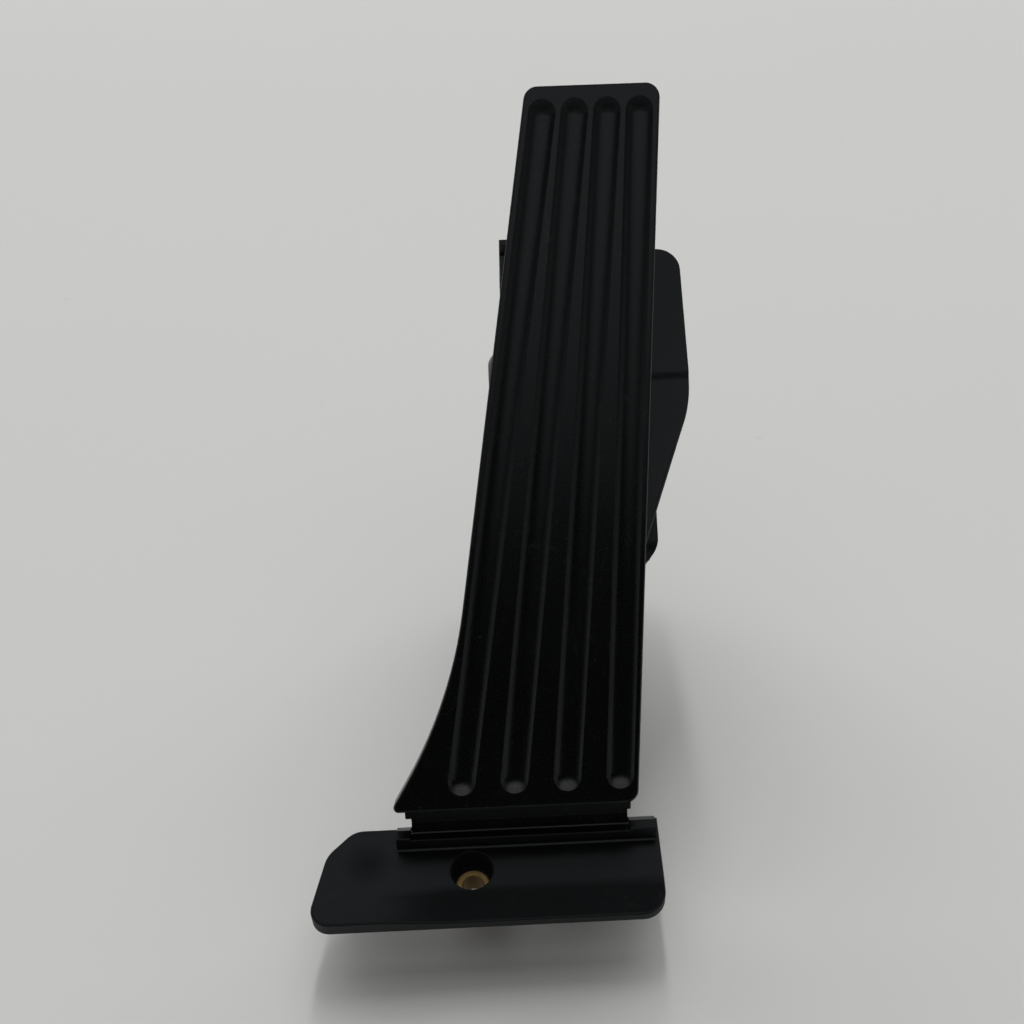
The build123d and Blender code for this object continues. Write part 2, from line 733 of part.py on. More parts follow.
def rest_stop_buffer():
    lug_turn = radians(lug_angle)
    lug_t = pivot_t + lug_reach * cos(lug_turn)
    top = pivot_d + lug_reach * sin(lug_turn) - lug_half - seat_gap
    half = rest_buffer_length / 2
    profile = polygon(
        (lug_t - half, bay_floor), (lug_t + half, bay_floor), (lug_t + half / 2, top), (lug_t - half / 2, top))
    half_width = rest_buffer_width / 2
    return bed_section * prism(profile, lever_x - half_width, lever_x + half_width)


# Sensor housing

def housing_side(inset):
    """Housing outline seen from the side: a drum round the shaft that widens into the electronics box."""
    box = polygon((shoulder_high, box_back), (box_top, box_back), (box_top, -cover_drop), (shoulder_high, -cover_drop))
    outline = make_hull(box.edges() + disc((pivot_t, pivot_d), drum_radius).edges())
    return offset(outline, -inset) if inset else outline


def housing_front(inset, start):
    """Housing outline seen from the pedal: drum, sloping shoulder and box, from x = start."""
    low = pivot_t - drum_radius
    drum_low, drum_high = (drum_x, low), (drum_x, shoulder_low)
    shoulder = (wedge_right + shoulder_reach, shoulder_high)
    corner = (wedge_right + box_reach, box_top)
    outline = polygon((start, low), drum_low, drum_high, shoulder, corner, (start, box_top))
    outline = rounded(outline, [(drum_low, drum_corner), (shoulder, shoulder_corner), (corner, box_corner)])
    return offset(outline, -inset) if inset else outline


def housing_block(inset, start):
    across = bed_section * prism(housing_side(inset), start, wedge_right + box_reach)
    along = bed_plane * prism(housing_front(inset, start - inset), 2 * box_back, bed_drop)
    return across & along


def housing_cover():
    """Flat cover over the box, drawn out into a tongue beside the carrier."""
    shoulder = (wedge_right + shoulder_reach, shoulder_high)
    corner = (wedge_right + box_reach, box_top)
    outline = polygon((wedge_right, cover_low), shoulder, corner, (wedge_right, box_top))
    outline = rounded(outline, [(shoulder, shoulder_corner), (corner, box_corner)])
    cover = prism(outline, -cover_drop - cover_thick, -cover_drop)
    rims = [edge for edge in cover.faces().sort_by(Axis.Z)[-1].edges() if edge.center().X > wedge_right + fit_gap]
    return bed_plane * fillet(rims, cover_edge)


def crease_profile():
    """Soft step down across the cover, with a long easy run back up to its level."""
    top, step = -cover_drop, crease_width / 2
    low, high = (crease_t - step - crease_run, top), (crease_t + step, top)
    foot = (crease_t - step, top - crease_depth)
    run, riser = [Spline(*ends, tangents=((1, 0), (1, 0))) for ends in ((low, foot), (foot, high))]
    above = top + crease_depth
    return make_face([run, riser, Line(high, (high[0], above)), Line((high[0], above), (low[0], above)),
                      Line((low[0], above), low)])


def plug_box(wall):
    """Sides of the plug socket, inside its wall by wall."""
    low, high = box_middle - plug_height / 2 + wall, box_middle + plug_height / 2 - wall
    left = wedge_right + plug_inset + wall
    right = wedge_right + plug_inset + plug_width - wall
    return left, right, low, high


def plug_prism(wall, start, end):
    left, right, low, high = plug_box(wall)
    outline = polygon((left, low), (right, low), (right, high), (left, high))
    outline = fillet(outline.vertices(), plug_corner - wall)
    tube = prism(outline, start, end)
    return Plane(origin=bed_plane.origin, x_dir=(1, 0, 0), z_dir=bed_plane.y_dir) * mirror(tube, Plane.XZ)


def connector_pins():
    left, right, low, high = plug_box(0)
    start, end = box_top - pin_tail, box_top + plug_floor + pin_stick
    half = pin_size / 2
    x = (left + right) / 2
    pins = []
    for step in range(pin_count):
        d = box_middle + (step - (pin_count - 1) / 2) * pin_pitch
        pins.append(bed_plane * block((x - half, start, d - half), (x + half, end, d + half)))
    return Compound(children=pins)


def sensor_housing():
    shell = housing_block(0, wedge_right) + housing_cover()
    for place in screw_places():
        shell += bed_section * prism(disc(place, ear_radius), wedge_right, wedge_right + ear_height)
    shell += plug_prism(0, box_top - shell_wall, box_top + plug_reach)
    shell -= housing_block(shell_wall, wedge_right)
    shaft_seat = Circle(shaft_radius + 2 * shell_wall) - Circle(shaft_radius + fit_gap)
    shell += bed_section * Pos(pivot_t, pivot_d) * prism(shaft_seat, board_right, drum_x - shell_wall)
    for post_t in (shoulder_high - post_inset, box_top - post_inset):
        post = prism(disc((post_t, box_middle), post_radius), board_right, wedge_right + box_reach)
        shell += (bed_section * post) & housing_block(shell_wall / 2, wedge_right)
    shell -= plug_prism(plug_wall, box_top + plug_floor, box_top + 2 * plug_reach)
    shell -= connector_pins()
    shell -= bed_section * prism(crease_profile(), wedge_right, wedge_right + 2 * box_reach)
    for place in screw_places():
        shell -= bed_section * prism(disc(place, screw_radius + fit_gap), wedge_right, wedge_right + ear_height)
    return shell - seal_ring()


def seal_ring():
    middle = shell_wall / 2
    ring = housing_side(middle - seal_width / 2) - housing_side(middle + seal_width / 2)
    return bed_section * prism(ring, wedge_right, wedge_right + seal_depth)


def circuit_board():
    outline = housing_side(shell_wall + board_margin)
    outline -= disc((pivot_t, pivot_d), shaft_radius + board_margin)
    return bed_section * prism(outline, board_left, board_right)


def housing_screws():
    head_x = wedge_right + ear_height
    screws = []
    for place in screw_places():
        screw = prism(disc(place, screw_radius), wedge_right - screw_length, head_x)
        screw += prism(disc(place, screw_head_radius), head_x, head_x + screw_head)
        screws.append(bed_section * screw)
    return Compound(children=screws)


def build_parts():
    left_spring = return_spring()
    return {
        "carrier": carrier(),
        "foot_bush": foot_bush(),
        "hinge_pin": hinge_pin(),
        "pedal_plate": pedal_plate(),
        "slide_pad": slide_pad(),
        "sensor_lever": sensor_lever(),
        "lever_shaft": lever_shaft(),
        "lever_bushes": lever_bushes(),
        "roller": roller(),
        "roller_pin": roller_pin(),
        "left_return_spring": left_spring,
        "right_return_spring": mirror(left_spring, Plane.YZ.offset(lever_x)),
        "rotor": rotor(),
        "circuit_board": circuit_board(),
        "connector_pins": connector_pins(),
        "sensor_housing": sensor_housing(),
        "housing_seal": seal_ring(),
        "housing_screws": housing_screws(),
        "full_stop_buffers": full_stop_buffers(),
        "rest_stop_buffer": rest_stop_buffer(),
    }


os.makedirs("parts", exist_ok=True)
for name, part in build_parts().items():
    export_step(part, f"parts/{name}.step")
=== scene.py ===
"""Looks of a floor-hinged accelerator pedal in grained black plastic, on a pale table."""
import json
import math

import bpy
from mathutils import Matrix, Vector


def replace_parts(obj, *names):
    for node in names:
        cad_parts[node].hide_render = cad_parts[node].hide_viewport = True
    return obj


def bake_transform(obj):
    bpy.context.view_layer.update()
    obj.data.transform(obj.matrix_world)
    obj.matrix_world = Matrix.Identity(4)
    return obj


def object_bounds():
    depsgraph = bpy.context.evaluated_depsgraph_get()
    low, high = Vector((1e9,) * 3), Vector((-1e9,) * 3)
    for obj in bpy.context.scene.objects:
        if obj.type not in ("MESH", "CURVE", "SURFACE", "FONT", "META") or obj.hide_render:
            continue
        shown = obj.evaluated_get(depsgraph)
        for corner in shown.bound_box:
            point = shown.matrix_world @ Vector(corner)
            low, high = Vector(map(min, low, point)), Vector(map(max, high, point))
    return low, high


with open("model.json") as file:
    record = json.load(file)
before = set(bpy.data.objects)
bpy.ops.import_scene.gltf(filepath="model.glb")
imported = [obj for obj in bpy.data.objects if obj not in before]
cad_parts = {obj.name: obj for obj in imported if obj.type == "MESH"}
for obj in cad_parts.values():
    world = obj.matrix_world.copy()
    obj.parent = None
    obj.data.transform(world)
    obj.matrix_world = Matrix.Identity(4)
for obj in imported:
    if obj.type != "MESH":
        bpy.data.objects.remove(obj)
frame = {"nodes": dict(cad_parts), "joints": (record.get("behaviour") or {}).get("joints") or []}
cad_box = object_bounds()
nodes = frame["nodes"]
joints = {joint["name"]: joint for joint in frame["joints"]}
lever_pivot = joints["lever_turn"]["pos_m"]
scene = bpy.context.scene

# Lengths are in metres, angles in degrees and powers in watts, unless a name says otherwise
ORIGIN = (0.0, 0.0, 0.0)
ACROSS = (1.0, 0.0, 0.0)
FORWARD = (0.0, 1.0, 0.0)
BACKWARD = (0.0, -1.0, 0.0)
UP = (0.0, 0.0, 1.0)

# Camera, fitted to the photograph
CAMERA_AT = (0.0122, -0.1841, 0.2945)
CAMERA_PITCH = 37.8
CAMERA_YAW = 1.1
CAMERA_ROLL = 1.75
CAMERA_NEAREST = 0.01
SENSOR_MM = 36.0
FOCAL_PIXELS = 1030.0
FRAME_PIXELS = 1024.0

# Table under the part
TABLE_HEIGHT = cad_box[0].z
TABLE_HALF = 40.0
TABLE_COLOUR = (0.615, 0.615, 0.6)
TABLE_ROUGHNESS = 0.6
TABLE_CLOUDS_PER_METRE = 3.0
TABLE_CLOUD_TONE = 0.98
TABLE_CLOUD_MATT = 0.04
TABLE_SPECKS_PER_METRE = 90.0
TABLE_SPECK_LEVELS = (0.79, 0.84)
TABLE_SPECK_TONE = 0.94

# Soft lamps: place, size and power
LAMP_AIM = (0.02, 0.02, 0.0)
LAMPS = {
    "strip": ((0.32, 11.0, 14.0), (1.12, 8.5), 900.0),
    "panel": ((0.0, 14.0, 10.5), (40.0, 9.0), 3150.0),
    "canopy": ((0.0, 7.0, 16.0), (24.0, 9.0), 650.0),
}

# Dark screen on the viewer's side
SCREEN_AT = -0.3
SCREEN_HALF = 0.8
SCREEN_TOP = 0.36
SCREEN_COLOUR = (0.008, 0.008, 0.008)
SCREEN_ROUGHNESS = 0.9

# Light of the room: strengths, then the limits of each part, as shares of straight up or straight along
SKY_HIGH = 0.03
SKY_LOW = 0.27
SKY_FRONT = 0.36
SKY_BACK = 0.36
LOW_HEIGHTS = (0.25, 0.5)
FRONT_HEIGHTS = (0.5, 0.72)
FRONT_TURN = (0.0, 0.1)
BACK_BAND = ((0.6, 0.0), (0.78, 1.0), (0.86, 1.0), (0.95, 0.0))
BACK_TURN = (0.15, 0.45)

# Plastic mouldings
PLASTIC_DARK = (0.9, 0.99, 1.16)
PLASTIC_LIGHT = (0.93, 1.0, 1.12)
PLASTIC_CONTRAST = 0.5
PLASTIC_SHINE = 0.5
PLASTIC_TINT = (0.9, 0.955, 1.0)
EDGE_RADIUS = 0.0003
EDGE_REACH = 0.0009
EDGE_LEVELS = (0.3, 0.62)
# Colour of the upper edges: partly wear, partly a painted highlight standing in for the edge glints
EDGE_WEAR_AND_HIGHLIGHT = (0.012, 0.0123, 0.0132)
RUBBED_POLISH = 0.08
UPWARD_LEVELS = (0.1, 0.5)
SIDE_MATT = 0.35

# Grain and marks of the mouldings: how fine they are, and the noise levels between which they appear
GRAIN_PER_METRE = 2400.0
GRAIN_SHARE = 0.7
GRAIN_MATT = 0.06
CLOUDS_PER_METRE = 26.0
CLOUD_SHARE = 0.3
CLOUD_MATT = 0.1
MARK_TILT = 55.0
SCUFFS_PER_METRE = 500.0
SCUFF_STRETCH = (1.0, 0.05, 1.0)
SCUFF_LEVELS = (0.6, 0.78)
SCUFFED_CLOUDS = (0.45, 0.7)
SCRATCHES_PER_METRE = 150.0
SCRATCH_STRETCH = (1.0, 0.04, 1.0)
SCRATCH_LINE = ((0.488, 0.0), (0.5, 1.0), (0.512, 0.0))
SCRATCH_SHARE = 0.4
PATCHES_PER_METRE = 55.0
PATCH_LEVELS = (0.54, 0.64)
SPECKS_PER_METRE = 600.0
SPECK_LEVELS = (0.76, 0.82)
SPECK_SHARE = 0.6
PALE_MARK = (0.09, 0.089, 0.085)
PALE_MARK_MATT = 0.1

# Pale spots in the feet of the pedal's grooves, on the faces that look up: a painted highlight, with some
# dust
DUST_AND_GLINT_FACING = (0.66, 0.88)
DUST_AND_GLINT_GRAIN = ((0.3, 0.3), (0.7, 0.9))
DUST_AND_GLINT_REACH = 0.0042
DUST_AND_GLINT_CORE = 0.45
GROOVE_COUNT = 4
GROOVE_PITCH = 0.0164
FIRST_GROOVE_FOOT = Vector((-0.0021, 0.0159, 0.0306))
GROOVE_FEET = [FIRST_GROOVE_FOOT + Vector(ACROSS) * GROOVE_PITCH * number for number in range(GROOVE_COUNT)]

# Dull spots of the foot plate: place, reach, share of it that is fully dull, added roughness
WING_SPOT = ((-0.0324, 0.0039, 0.0), 0.008, 0.15, 0.3)
BOLT_RECESS = (ORIGIN, 0.0071, 0.95, 0.5)

# Metals
METAL_LINES_PER_METRE = 300.0
METAL_LINE_DEPTH = 0.00002
METAL_LINE_MATT = 0.12
METAL_EDGE_RADIUS = 0.0001
TARNISH_PER_METRE = 220.0
TARNISH_LEVELS = (0.4, 0.75)
TARNISH_TONE = 0.62
TARNISH_MATT = 0.1
METAL_POLISH = 0.1
BUSH_BORE = 0.0036
BORE_CORE = 0.94
BORE_TONE = 0.42

# Smooth plastics and the circuit board
FLOW_PER_METRE = 90.0
FLOW_TONE = 0.86
FLOW_DEPTH = 0.00002
FLOW_MATT = 0.1
SMOOTH_EDGE_RADIUS = 0.0002
BOARD_GREEN = (0.012, 0.11, 0.04)
TRACK_GREEN = (0.03, 0.2, 0.08)
TRACKS_PER_METRE = 160.0
TRACK_WIDTH = 0.03
BOARD_ROUGHNESS = 0.35

# Return springs: each winds up between the carrier and the lever
SPRING_WIRE_RADIUS = 0.0009
SPRING_COIL_RADIUS = 0.0085
SPRING_TURNS = 3
SPRING_FIXED_LEG = 0.024
SPRING_FREE_LEG = 0.0411
SPRING_LEG_ANGLE = 25.5
SPRING_STEPS_PER_TURN = 28
BED_ANGLE = 39.0
LEFT_SPRING_ENDS = (0.0333, 0.03815)
RIGHT_SPRING_ENDS = tuple(2 * lever_pivot[0] - x for x in LEFT_SPRING_ENDS)


class Sum:
    """A shader socket that can be used in sums."""

    def __init__(self, finish, socket):
        self.finish = finish
        self.socket = socket

    def maths(self, operation, first, second):
        return self.finish.add("ShaderNodeMath", {"operation": operation}, {0: first, 1: second})

    def __add__(self, other):
        return self.maths("ADD", self, other)

    def __radd__(self, other):
        return self.maths("ADD", other, self)

    def __sub__(self, other):
        return self.maths("SUBTRACT", self, other)

    def __rsub__(self, other):
        return self.maths("SUBTRACT", other, self)

    def __mul__(self, other):
        return self.maths("MULTIPLY", self, other)

    def __rmul__(self, other):
        return self.maths("MULTIPLY", other, self)


class Finish:
    """The nodes of one material, or of the room's light."""

    def __init__(self, owner, shader="Principled BSDF"):
        self.owner = owner
        owner.use_nodes = True
        self.tree = owner.node_tree
        self.shader = self.tree.nodes[shader]

    @classmethod
    def named(cls, name):
        return cls(bpy.data.materials.new(name))

    def add(self, kind, settings=None, sockets=None, output=0):
        node = self.tree.nodes.new(kind)
        for key, value in (settings or {}).items():
            if key == "stops":
                self.set_stops(node.color_ramp, value)
            else:
                setattr(node, key, value)
        self.feed(node, sockets or {})
        return Sum(self, node.outputs[output])

    def set_stops(self, ramp, stops):
        while len(ramp.elements) < len(stops):
            ramp.elements.new(0.5)
        for element, (place, level) in zip(ramp.elements, stops):
            element.position = place
            element.color = (level, level, level, 1.0)

    def feed(self, node, sockets):
        for key, value in sockets.items():
            if isinstance(value, Sum):
                self.tree.links.new(value.socket, node.inputs[key])
            else:
                node.inputs[key].default_value = value

    def place(self):
        """Point on the piece, in metres in the piece's own frame."""
        return self.add("ShaderNodeTexCoord", output=3)

    def facing(self):
        """Direction the surface faces, in the piece's own frame."""
        return self.add("ShaderNodeTexCoord", output=1)

    def stretch(self, point, scale):
        return self.add("ShaderNodeVectorMath", {"operation": "MULTIPLY"}, {0: point, 1: scale})

    def flat(self, point):
        """The point brought down to the height of the origin."""
        return self.stretch(point, (1.0, 1.0, 0.0))

    def turn(self, point, axis, angle):
        return self.add("ShaderNodeVectorRotate", {"rotation_type": "AXIS_ANGLE"}, {
            "Vector": point, "Axis": axis, "Angle": math.radians(angle)})

    def dot(self, first, second):
        return self.add("ShaderNodeVectorMath", {"operation": "DOT_PRODUCT"}, {0: first, 1: second}, 1)

    def away(self, point, spot):
        """Distance from a spot, in metres."""
        return self.add("ShaderNodeVectorMath", {"operation": "DISTANCE"}, {0: point, 1: spot}, 1)

    def noise(self, point, per_metre, detail=2.0, rough=0.5):
        return self.add("ShaderNodeTexNoise", None, {
            "Vector": point, "Scale": per_metre, "Detail": detail, "Roughness": rough})

    def ramp(self, value, *stops):
        """Level that follows stops, each of them a value and its level."""
        return self.add("ShaderNodeValToRGB", {"stops": stops}, {"Fac": value})

    def rise(self, value, start, end):
        """0 up to start, 1 from end on."""
        return self.ramp(value, (start, 0.0), (end, 1.0))

    def fall(self, value, start, end):
        """1 up to start, 0 from end on."""
        return self.ramp(value, (start, 1.0), (end, 0.0))

    def near(self, point, spot, reach, core):
        """1 in the core of a spot, which is a share of its reach, and 0 beyond the reach."""
        return self.fall(self.away(point, spot) * (1.0 / reach), core, 1.0)

    def mix(self, share, first, second):
        return self.add("ShaderNodeMix", {"data_type": "RGBA"}, {0: share, 6: first, 7: second}, output=2)

    def edge_mask(self, reach):
        """Near 1 on outer edges and small rounds, 0 on broad faces."""
        inside = self.add("ShaderNodeAmbientOcclusion", {"samples": 6, "inside": True, "only_local": True},
                          {"Distance": reach}, output=1)
        return self.rise(1.0 - inside, *EDGE_LEVELS)

    def soft_edge(self, radius):
        """Normal of the piece with its sharp edges rounded."""
        return self.add("ShaderNodeBevel", {"samples": 4}, {"Radius": radius})

    def bump(self, height, depth, normal):
        return self.add("ShaderNodeBump", None, {
            "Height": height, "Distance": depth, "Strength": 1.0, "Normal": normal})

    def surface(self, **sockets):
        """Feeds the shader's sockets, which are named in lower case with underscores."""
        names = {key: key.replace("_", " ").title().replace("Ior", "IOR") for key in sockets}
        self.feed(self.shader, {names[key]: value for key, value in sockets.items()})
        return self.owner


def paint(colour, level=1.0):
    return tuple(part * level for part in colour) + (1.0,)


def moulded_plastic(name, tone, roughness, grain_depth, wear, dull=(), dust_and_glint_spots=()):
    """Dark plastic with fine grain, scuffs, scratches, specks and dull spots; upper edges lighter, partly
    wear and partly a painted highlight; pale spots in the groove feet, a painted highlight with some dust.
    """
    finish = Finish.named(name)
    point = finish.place()
    grain = finish.noise(point, GRAIN_PER_METRE, rough=0.6)
    cloud = finish.noise(point, CLOUDS_PER_METRE, detail=4.0, rough=0.55)
    lift = finish.dot(finish.facing(), UP)
    upward = finish.rise(lift, *UPWARD_LEVELS)
    # Mask of the upward-facing edges, made lighter below: partly wear, partly a painted highlight
    edge_wear_and_highlight = finish.edge_mask(EDGE_REACH) * upward

    tilted = finish.turn(point, ACROSS, MARK_TILT)
    rub = finish.noise(finish.stretch(tilted, SCUFF_STRETCH), SCUFFS_PER_METRE, detail=3.0, rough=0.6)
    scuff = finish.rise(rub, *SCUFF_LEVELS) * finish.rise(cloud, *SCUFFED_CLOUDS)
    line = finish.noise(finish.stretch(tilted, SCRATCH_STRETCH), SCRATCHES_PER_METRE, detail=1.0)
    patch = finish.rise(finish.noise(point, PATCHES_PER_METRE, detail=1.0), *PATCH_LEVELS)
    scratch = finish.ramp(line, *SCRATCH_LINE) * patch
    speck = finish.rise(finish.noise(point, SPECKS_PER_METRE, detail=1.0), *SPECK_LEVELS)
    marks = (scuff + SCRATCH_SHARE * scratch + SPECK_SHARE * speck) * wear
    # Pale spots in the groove feet on up-facing faces: a painted highlight, with some dust
    if dust_and_glint_spots:
        dust_and_glint = finish.rise(lift, *DUST_AND_GLINT_FACING) * finish.ramp(grain, *DUST_AND_GLINT_GRAIN)
        for spot in dust_and_glint_spots:
            marks = marks + finish.near(point, spot, DUST_AND_GLINT_REACH, DUST_AND_GLINT_CORE) * dust_and_glint

    matt = roughness + (1.0 - upward) * SIDE_MATT
    for spot, reach, core, amount in dull:
        matt = matt + finish.near(finish.flat(point), spot, reach, core) * amount
    uneven = (cloud - 0.5) * CLOUD_MATT + (grain - 0.5) * GRAIN_MATT
    colour = finish.mix(
        grain * GRAIN_SHARE + cloud * CLOUD_SHARE,
        paint(PLASTIC_DARK, tone * (1.0 - PLASTIC_CONTRAST)),
        paint(PLASTIC_LIGHT, tone * (1.0 + PLASTIC_CONTRAST)))
    # Base colour: upper edges lighter (wear and painted highlight), then the pale marks, among them the
    # painted highlight in the groove feet
    return finish.surface(
        base_color=finish.mix(marks, finish.mix(edge_wear_and_highlight, colour, paint(EDGE_WEAR_AND_HIGHLIGHT)), paint(PALE_MARK)),
        roughness=matt + uneven + marks * PALE_MARK_MATT - edge_wear_and_highlight * RUBBED_POLISH,
        specular_ior_level=PLASTIC_SHINE,
        specular_tint=paint(PLASTIC_TINT),
        normal=finish.bump(grain, grain_depth, finish.soft_edge(EDGE_RADIUS)))


def plain_metal(name, colour, roughness, streak, bore=0.0, lustre=1.0):
    """Turned or drawn metal with fine streaks and a little tarnish, darker in its bore if it has one."""
    finish = Finish.named(name)
    point = finish.place()
    lines = finish.noise(finish.stretch(point, streak), METAL_LINES_PER_METRE)
    tarnish = finish.noise(point, TARNISH_PER_METRE, detail=3.0)
    tone = finish.mix(finish.rise(tarnish, *TARNISH_LEVELS), paint(colour), paint(colour, TARNISH_TONE))
    if bore:
        inside = finish.near(finish.flat(point), ORIGIN, bore, BORE_CORE)
        tone = finish.mix(inside, tone, paint(colour, BORE_TONE))
    return finish.surface(
        base_color=tone,
        roughness=lines * METAL_LINE_MATT + tarnish * TARNISH_MATT + (roughness - METAL_POLISH),
        metallic=lustre,
        normal=finish.bump(lines, METAL_LINE_DEPTH, finish.soft_edge(METAL_EDGE_RADIUS)))


def smooth_plastic(name, colour, roughness):
    """Plain engineering plastic with faint flow marks."""
    finish = Finish.named(name)
    flow = finish.noise(finish.place(), FLOW_PER_METRE, detail=3.0)
    return finish.surface(
        base_color=finish.mix(flow, paint(colour), paint(colour, FLOW_TONE)),
        roughness=(flow - 0.5) * FLOW_MATT + roughness,
        normal=finish.bump(flow, FLOW_DEPTH, finish.soft_edge(SMOOTH_EDGE_RADIUS)))


def circuit_green():
    """Green board with paler tracks."""
    finish = Finish.named("green_board")
    point = finish.stretch(finish.place(), (0.0, 1.0, 1.0))
    tracks = finish.add("ShaderNodeTexBrick", None, {
        "Vector": point, "Scale": TRACKS_PER_METRE, "Mortar Size": TRACK_WIDTH}, output=1)
    return finish.surface(
        base_color=finish.mix(tracks, paint(BOARD_GREEN), paint(TRACK_GREEN)),
        roughness=BOARD_ROUGHNESS)


def dress(names, material):
    for name in names:
        piece = nodes[name]
        piece.data.materials.clear()
        piece.data.materials.append(material)


def add_object(name, data):
    item = bpy.data.objects.new(name, data)
    scene.collection.objects.link(item)
    return item


def spring_line(ends):
    """Middle of a torsion spring's wire: fixed leg, coil and free leg, from x to x of ends."""
    bed = math.radians(BED_ANGLE)
    leg = math.radians(SPRING_LEG_ANGLE)
    wound = 2 * math.pi * SPRING_TURNS - math.pi - leg

    def outward(angle, length):
        return Vector((0.0, math.cos(angle), math.sin(angle))) * length

    count = int(SPRING_STEPS_PER_TURN * wound / (2 * math.pi))
    coil = []
    for step in range(count + 1):
        share = step / count
        middle = Vector((ends[0] + share * (ends[1] - ends[0]), *lever_pivot[1:]))
        coil.append(middle + outward(bed - math.pi / 2 - share * wound, SPRING_COIL_RADIUS))
    fixed_end = coil[0] + outward(bed, SPRING_FIXED_LEG)
    free_end = coil[-1] + outward(bed + leg, SPRING_FREE_LEG)
    return [fixed_end] + coil + [free_end]


def add_spring(name, ends, material):
    """Round wire of a torsion spring, with its fixed leg, coil and free leg."""
    curve = bpy.data.curves.new(name, "CURVE")
    curve.dimensions = "3D"
    curve.bevel_depth = SPRING_WIRE_RADIUS
    curve.bevel_resolution = 4
    curve.use_fill_caps = True
    points = spring_line(ends)
    line = curve.splines.new("POLY")
    line.points.add(len(points) - 1)
    for knot, point in zip(line.points, points):
        knot.co = point.to_4d()
    wire = bpy.data.objects.new(name, curve)
    mesh = bpy.data.meshes.new_from_object(wire)
    bpy.data.objects.remove(wire)
    mesh.materials.append(material)
    mesh.shade_smooth()
    spring = add_object(name, mesh)
    inward = math.copysign(SPRING_WIRE_RADIUS, ends[1] - ends[0])
    ends[0] + inward
    ends[1] - inward
    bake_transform(spring)
    return spring


def add_camera():
    pitch, yaw, roll = (math.radians(angle) for angle in (CAMERA_PITCH, CAMERA_YAW, CAMERA_ROLL))
    forward = Vector((math.sin(yaw) * math.cos(pitch), math.cos(yaw) * math.cos(pitch), -math.sin(pitch)))
    level = forward.cross(Vector(UP)).normalized()
    upright = level.cross(forward)
    right = level * math.cos(roll) - upright * math.sin(roll)
    up = level * math.sin(roll) + upright * math.cos(roll)
    data = bpy.data.cameras.new("camera")
    data.sensor_width = SENSOR_MM
    data.lens = SENSOR_MM * FOCAL_PIXELS / FRAME_PIXELS
    data.clip_start = CAMERA_NEAREST
    camera = add_object("camera", data)
    turned = Matrix((right, up, -forward)).transposed().to_4x4()
    camera.matrix_world = Matrix.Translation(CAMERA_AT) @ turned
    scene.camera = camera


def add_card(name, corners, material):
    """Flat sheet with four corners, which isn't part of the object."""
    mesh = bpy.data.meshes.new(name)
    mesh.from_pydata(corners, [], [(0, 1, 2, 3)])
    mesh.materials.append(material)
    card = add_object(name, mesh)
    return card


def add_table():
    """Pale table with a faint cloudiness and a few dust specks."""
    finish = Finish.named("table_top")
    point = finish.place()
    cloud = finish.noise(point, TABLE_CLOUDS_PER_METRE)
    speck = finish.rise(finish.noise(point, TABLE_SPECKS_PER_METRE, detail=1.0), *TABLE_SPECK_LEVELS)
    colour = finish.mix(cloud, paint(TABLE_COLOUR), paint(TABLE_COLOUR, TABLE_CLOUD_TONE))
    top = finish.surface(
        base_color=finish.mix(speck, colour, paint(TABLE_COLOUR, TABLE_SPECK_TONE)),
        roughness=cloud * TABLE_CLOUD_MATT + TABLE_ROUGHNESS)
    half = TABLE_HALF
    ends = [(-half, -half), (half, -half), (half, half), (-half, half)]
    add_card("table", [(x, y, TABLE_HEIGHT) for x, y in ends], top)


def add_screen():
    """Dark screen on the viewer's side, which only shows in the gloss."""
    low, high = TABLE_HEIGHT, SCREEN_TOP
    ends = [(-SCREEN_HALF, low), (SCREEN_HALF, low), (SCREEN_HALF, high), (-SCREEN_HALF, high)]
    cloth = Finish.named("screen_cloth").surface(base_color=paint(SCREEN_COLOUR), roughness=SCREEN_ROUGHNESS)
    screen = add_card("screen", [(x, SCREEN_AT, z) for x, z in ends], cloth)
    screen.visible_camera = False
    screen.visible_diffuse = False
    screen.visible_shadow = False


def add_lamp(name, place, size, power):
    """A soft lamp that shows neither itself nor a mirror image."""
    data = bpy.data.lights.new(name, "AREA")
    data.energy = power
    data.shape = "RECTANGLE"
    data.size, data.size_y = size
    lamp = add_object(name, data)
    lamp.location = place
    lamp.rotation_euler = (Vector(LAMP_AIM) - Vector(place)).to_track_quat("-Z", "Y").to_euler()
    lamp.visible_camera = False
    lamp.visible_glossy = False


def add_room():
    """Pale near the level, with two soft panels high in front and behind."""
    world = bpy.data.worlds.new("room")
    scene.world = world
    room = Finish(world, "Background")
    toward = room.add("ShaderNodeTexCoord")
    height = room.dot(toward, UP)
    low = room.fall(height, *LOW_HEIGHTS)
    front = room.rise(height, *FRONT_HEIGHTS) * room.rise(room.dot(toward, BACKWARD), *FRONT_TURN)
    back = room.ramp(height, *BACK_BAND) * room.rise(room.dot(toward, FORWARD), *BACK_TURN)
    level = low * (SKY_LOW - SKY_HIGH) + SKY_HIGH + front * SKY_FRONT + back * SKY_BACK
    room.feed(room.shader, {"Color": level, "Strength": 1.0})
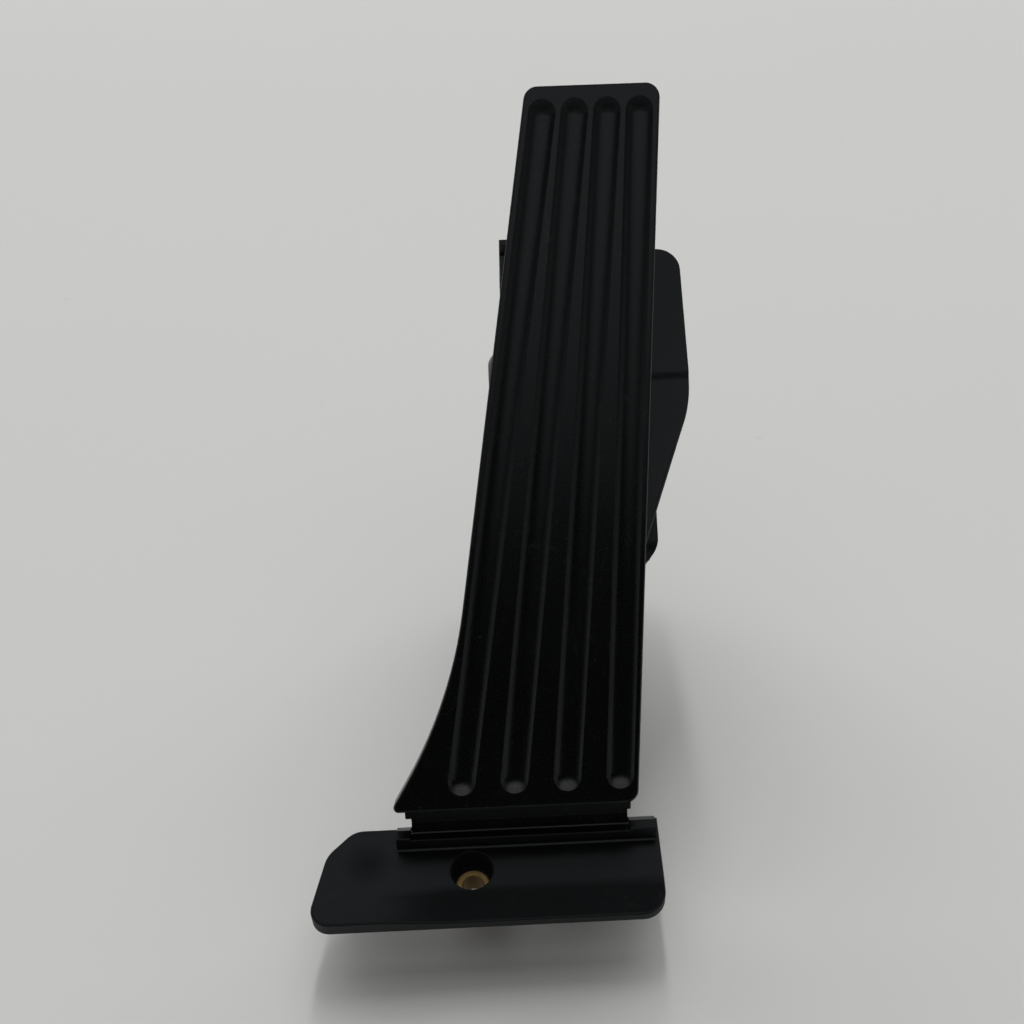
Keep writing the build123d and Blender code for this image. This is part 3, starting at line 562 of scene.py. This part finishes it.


# Finishes of the pieces
# The pedal gets the painted highlight in the feet of its grooves
dress(["pedal_plate"], moulded_plastic(
    "pedal_black", tone=0.0018, roughness=0.28, grain_depth=0.00002, wear=0.3, dust_and_glint_spots=GROOVE_FEET))
dress(["carrier"], moulded_plastic(
    "carrier_black", tone=0.0018, roughness=0.3, grain_depth=0.00002, wear=0.12,
    dull=[WING_SPOT, BOLT_RECESS]))
dress(["sensor_housing"], moulded_plastic(
    "housing_black", tone=0.002, roughness=0.38, grain_depth=0.000012, wear=0.12))
dress(["sensor_lever"], moulded_plastic(
    "lever_grey", tone=0.03, roughness=0.5, grain_depth=0.00004, wear=0.1))
dress(["full_stop_buffers", "rest_stop_buffer"], moulded_plastic(
    "buffer_rubber", tone=0.012, roughness=0.7, grain_depth=0.00003, wear=0.2))
dress(["slide_pad", "roller"], smooth_plastic("slide_white", colour=(0.72, 0.7, 0.64), roughness=0.32))
dress(["lever_bushes"], smooth_plastic("bearing_tan", colour=(0.45, 0.34, 0.16), roughness=0.4))
dress(["housing_seal"], smooth_plastic("seal_red", colour=(0.22, 0.05, 0.03), roughness=0.6))
dress(["foot_bush"], plain_metal(
    "turned_brass", colour=(0.78, 0.52, 0.2), roughness=0.42, streak=(1.0, 1.0, 30.0),
    bore=BUSH_BORE, lustre=0.45))
dress(["connector_pins"], plain_metal(
    "tinned_brass", colour=(0.68, 0.62, 0.48), roughness=0.3, streak=(1.0, 30.0, 30.0)))
dress(["hinge_pin", "lever_shaft", "roller_pin"], plain_metal(
    "ground_steel", colour=(0.55, 0.56, 0.57), roughness=0.28, streak=(30.0, 1.0, 1.0)))
dress(["housing_screws"], plain_metal(
    "plated_steel", colour=(0.5, 0.51, 0.53), roughness=0.3, streak=(30.0, 1.0, 1.0)))
dress(["rotor"], plain_metal(
    "sheet_metal", colour=(0.7, 0.71, 0.72), roughness=0.34, streak=(1.0, 30.0, 1.0)))
dress(["circuit_board"], circuit_green())

# Return springs of round wire, in place of the CAD springs
spring_wire = plain_metal("spring_wire", colour=(0.32, 0.33, 0.35), roughness=0.36, streak=(1.0, 4.0, 4.0))
for side, ends in (("left", LEFT_SPRING_ENDS), ("right", RIGHT_SPRING_ENDS)):
    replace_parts(add_spring(f"{side}_spring_wire", ends, spring_wire), f"{side}_return_spring")

# Camera, table and light
add_camera()
add_table()
add_screen()
for name, (place, size, power) in LAMPS.items():
    add_lamp(name, place, size, power)
add_room()
scene.view_settings.view_transform = "Standard"
